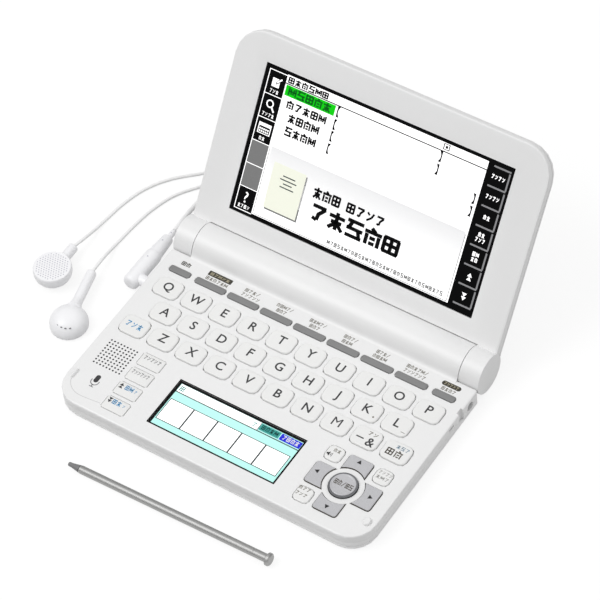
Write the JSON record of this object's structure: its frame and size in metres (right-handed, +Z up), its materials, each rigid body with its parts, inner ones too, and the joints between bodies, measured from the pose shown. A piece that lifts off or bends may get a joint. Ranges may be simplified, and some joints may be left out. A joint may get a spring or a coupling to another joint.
{
  "type": "electronic dictionary",
  "caption": "Hinged pocket electronic dictionary with keyboard, main display, handwriting panel, stylus and plugged-in earphones.",
  "frame": {"origin": "on the table, under the middle of the base case", "axes": "+X to the user's right, +Y to the hinge at the back, +Z up"},
  "size_m": [0.195, 0.178, 0.0858],
  "materials": {
    "white_case_plastic": "moulded, light gloss",
    "white_key_plastic": "moulded, satin",
    "grey_key_plastic": "satin",
    "silver_key_paint": "metallic paint",
    "bright_steel": "polished",
    "cell_jacket": "printed film",
    "circuit_board": "solder mask",
    "key_rubber": "moulded",
    "display_glass": "polished cover",
    "black_plastic": "moulded",
    "earphone_plastic": "polished",
    "cord_rubber": "extruded, satin"
  },
  "bodies": {
    "base": {"base_upper_case": "white_case_plastic", "base_lower_case": "white_case_plastic", "battery_cover": "white_case_plastic", "battery_left": "cell_jacket", "battery_right": "cell_jacket", "hinge_pin_left": "bright_steel", "hinge_pin_right": "bright_steel", "main_board": "circuit_board", "key_mat": "key_rubber", "handwriting_panel": "display_glass", "speaker": "black_plastic", "earphone_jack": "black_plastic", "stylus": "bright_steel", "earphone_plug": "earphone_plastic", "earphone_lead": "cord_rubber", "earphone_coil": "cord_rubber", "cord_splitter": "earphone_plastic", "branch_cord_left": "cord_rubber", "branch_cord_right": "cord_rubber", "earbud_left": "earphone_plastic", "earbud_right": "earphone_plastic"},
    "lid": {"lid_front_bezel": "white_case_plastic", "lid_back_cover": "white_case_plastic", "main_display": "display_glass"},
    "key_q_body": {"key_q": "white_key_plastic"},
    "key_w_body": {"key_w": "white_key_plastic"},
    "key_e_body": {"key_e": "white_key_plastic"},
    "key_r_body": {"key_r": "white_key_plastic"},
    "key_t_body": {"key_t": "white_key_plastic"},
    "key_y_body": {"key_y": "white_key_plastic"},
    "key_u_body": {"key_u": "white_key_plastic"},
    "key_i_body": {"key_i": "white_key_plastic"},
    "key_o_body": {"key_o": "white_key_plastic"},
    "key_p_body": {"key_p": "white_key_plastic"},
    "key_a_body": {"key_a": "white_key_plastic"},
    "key_s_body": {"key_s": "white_key_plastic"},
    "key_d_body": {"key_d": "white_key_plastic"},
    "key_f_body": {"key_f": "white_key_plastic"},
    "key_g_body": {"key_g": "white_key_plastic"},
    "key_h_body": {"key_h": "white_key_plastic"},
    "key_j_body": {"key_j": "white_key_plastic"},
    "key_k_body": {"key_k": "white_key_plastic"},
    "key_l_body": {"key_l": "white_key_plastic"},
    "key_shift_body": {"key_shift": "white_key_plastic"},
    "key_z_body": {"key_z": "white_key_plastic"},
    "key_x_body": {"key_x": "white_key_plastic"},
    "key_c_body": {"key_c": "white_key_plastic"},
    "key_v_body": {"key_v": "white_key_plastic"},
    "key_b_body": {"key_b": "white_key_plastic"},
    "key_n_body": {"key_n": "white_key_plastic"},
    "key_m_body": {"key_m": "white_key_plastic"},
    "key_symbol_body": {"key_symbol": "white_key_plastic"},
    "key_delete_body": {"key_delete": "white_key_plastic"},
    "voice_key_body": {"voice_key": "white_key_plastic"},
    "jump_key_body": {"jump_key": "white_key_plastic"},
    "back_key_body": {"back_key": "white_key_plastic"},
    "function_key_strip_body": {"function_key_strip": "grey_key_plastic"},
    "side_key_strip_body": {"side_key_strip": "white_key_plastic"},
    "arrow_keys_body": {"arrow_keys": "silver_key_paint"},
    "enter_key_body": {"enter_key": "silver_key_paint"}
  },
  "joints": [
    {"name": "lid_hinge", "type": "hinge", "parent": "base", "child": "lid", "pos_m": [0, 0.0427, 0.0091], "axis": [1, 0, 0], "range_deg": [-15, 124.47]},
    {"name": "key_q_press", "type": "slide", "parent": "base", "child": "key_q_body", "axis": [0, 0, -1], "range_m": [0, 0.0008], "stiffness_N_per_m": 400},
    {"name": "key_w_press", "type": "slide", "parent": "base", "child": "key_w_body", "axis": [0, 0, -1], "range_m": [0, 0.0008], "stiffness_N_per_m": 400},
    {"name": "key_e_press", "type": "slide", "parent": "base", "child": "key_e_body", "axis": [0, 0, -1], "range_m": [0, 0.0008], "stiffness_N_per_m": 400},
    {"name": "key_r_press", "type": "slide", "parent": "base", "child": "key_r_body", "axis": [0, 0, -1], "range_m": [0, 0.0008], "stiffness_N_per_m": 400},
    {"name": "key_t_press", "type": "slide", "parent": "base", "child": "key_t_body", "axis": [0, 0, -1], "range_m": [0, 0.0008], "stiffness_N_per_m": 400},
    {"name": "key_y_press", "type": "slide", "parent": "base", "child": "key_y_body", "axis": [0, 0, -1], "range_m": [0, 0.0008], "stiffness_N_per_m": 400},
    {"name": "key_u_press", "type": "slide", "parent": "base", "child": "key_u_body", "axis": [0, 0, -1], "range_m": [0, 0.0008], "stiffness_N_per_m": 400},
    {"name": "key_i_press", "type": "slide", "parent": "base", "child": "key_i_body", "axis": [0, 0, -1], "range_m": [0, 0.0008], "stiffness_N_per_m": 400},
    {"name": "key_o_press", "type": "slide", "parent": "base", "child": "key_o_body", "axis": [0, 0, -1], "range_m": [0, 0.0008], "stiffness_N_per_m": 400},
    {"name": "key_p_press", "type": "slide", "parent": "base", "child": "key_p_body", "axis": [0, 0, -1], "range_m": [0, 0.0008], "stiffness_N_per_m": 400},
    {"name": "key_a_press", "type": "slide", "parent": "base", "child": "key_a_body", "axis": [0, 0, -1], "range_m": [0, 0.0008], "stiffness_N_per_m": 400},
    {"name": "key_s_press", "type": "slide", "parent": "base", "child": "key_s_body", "axis": [0, 0, -1], "range_m": [0, 0.0008], "stiffness_N_per_m": 400},
    {"name": "key_d_press", "type": "slide", "parent": "base", "child": "key_d_body", "axis": [0, 0, -1], "range_m": [0, 0.0008], "stiffness_N_per_m": 400},
    {"name": "key_f_press", "type": "slide", "parent": "base", "child": "key_f_body", "axis": [0, 0, -1], "range_m": [0, 0.0008], "stiffness_N_per_m": 400},
    {"name": "key_g_press", "type": "slide", "parent": "base", "child": "key_g_body", "axis": [0, 0, -1], "range_m": [0, 0.0008], "stiffness_N_per_m": 400},
    {"name": "key_h_press", "type": "slide", "parent": "base", "child": "key_h_body", "axis": [0, 0, -1], "range_m": [0, 0.0008], "stiffness_N_per_m": 400},
    {"name": "key_j_press", "type": "slide", "parent": "base", "child": "key_j_body", "axis": [0, 0, -1], "range_m": [0, 0.0008], "stiffness_N_per_m": 400},
    {"name": "key_k_press", "type": "slide", "parent": "base", "child": "key_k_body", "axis": [0, 0, -1], "range_m": [0, 0.0008], "stiffness_N_per_m": 400},
    {"name": "key_l_press", "type": "slide", "parent": "base", "child": "key_l_body", "axis": [0, 0, -1], "range_m": [0, 0.0008], "stiffness_N_per_m": 400},
    {"name": "key_shift_press", "type": "slide", "parent": "base", "child": "key_shift_body", "axis": [0, 0, -1], "range_m": [0, 0.0008], "stiffness_N_per_m": 400},
    {"name": "key_z_press", "type": "slide", "parent": "base", "child": "key_z_body", "axis": [0, 0, -1], "range_m": [0, 0.0008], "stiffness_N_per_m": 400},
    {"name": "key_x_press", "type": "slide", "parent": "base", "child": "key_x_body", "axis": [0, 0, -1], "range_m": [0, 0.0008], "stiffness_N_per_m": 400},
    {"name": "key_c_press", "type": "slide", "parent": "base", "child": "key_c_body", "axis": [0, 0, -1], "range_m": [0, 0.0008], "stiffness_N_per_m": 400},
    {"name": "key_v_press", "type": "slide", "parent": "base", "child": "key_v_body", "axis": [0, 0, -1], "range_m": [0, 0.0008], "stiffness_N_per_m": 400},
    {"name": "key_b_press", "type": "slide", "parent": "base", "child": "key_b_body", "axis": [0, 0, -1], "range_m": [0, 0.0008], "stiffness_N_per_m": 400},
    {"name": "key_n_press", "type": "slide", "parent": "base", "child": "key_n_body", "axis": [0, 0, -1], "range_m": [0, 0.0008], "stiffness_N_per_m": 400},
    {"name": "key_m_press", "type": "slide", "parent": "base", "child": "key_m_body", "axis": [0, 0, -1], "range_m": [0, 0.0008], "stiffness_N_per_m": 400},
    {"name": "key_symbol_press", "type": "slide", "parent": "base", "child": "key_symbol_body", "axis": [0, 0, -1], "range_m": [0, 0.0008], "stiffness_N_per_m": 400},
    {"name": "key_delete_press", "type": "slide", "parent": "base", "child": "key_delete_body", "axis": [0, 0, -1], "range_m": [0, 0.0008], "stiffness_N_per_m": 400},
    {"name": "voice_key_press", "type": "slide", "parent": "base", "child": "voice_key_body", "axis": [0, 0, -1], "range_m": [0, 0.0008], "stiffness_N_per_m": 400},
    {"name": "jump_key_press", "type": "slide", "parent": "base", "child": "jump_key_body", "axis": [0, 0, -1], "range_m": [0, 0.0008], "stiffness_N_per_m": 400},
    {"name": "back_key_press", "type": "slide", "parent": "base", "child": "back_key_body", "axis": [0, 0, -1], "range_m": [0, 0.0008], "stiffness_N_per_m": 400},
    {"name": "function_key_strip_press", "type": "slide", "parent": "base", "child": "function_key_strip_body", "axis": [0, 0, -1], "range_m": [0, 0.0005], "stiffness_N_per_m": 400},
    {"name": "side_key_strip_press", "type": "slide", "parent": "base", "child": "side_key_strip_body", "axis": [0, 0, -1], "range_m": [0, 0.0005], "stiffness_N_per_m": 400},
    {"name": "arrow_keys_press", "type": "slide", "parent": "base", "child": "arrow_keys_body", "axis": [0, 0, -1], "range_m": [0, 0.0008], "stiffness_N_per_m": 400},
    {"name": "enter_key_press", "type": "slide", "parent": "base", "child": "enter_key_body", "axis": [0, 0, -1], "range_m": [0, 0.0008], "stiffness_N_per_m": 400}
  ]
}
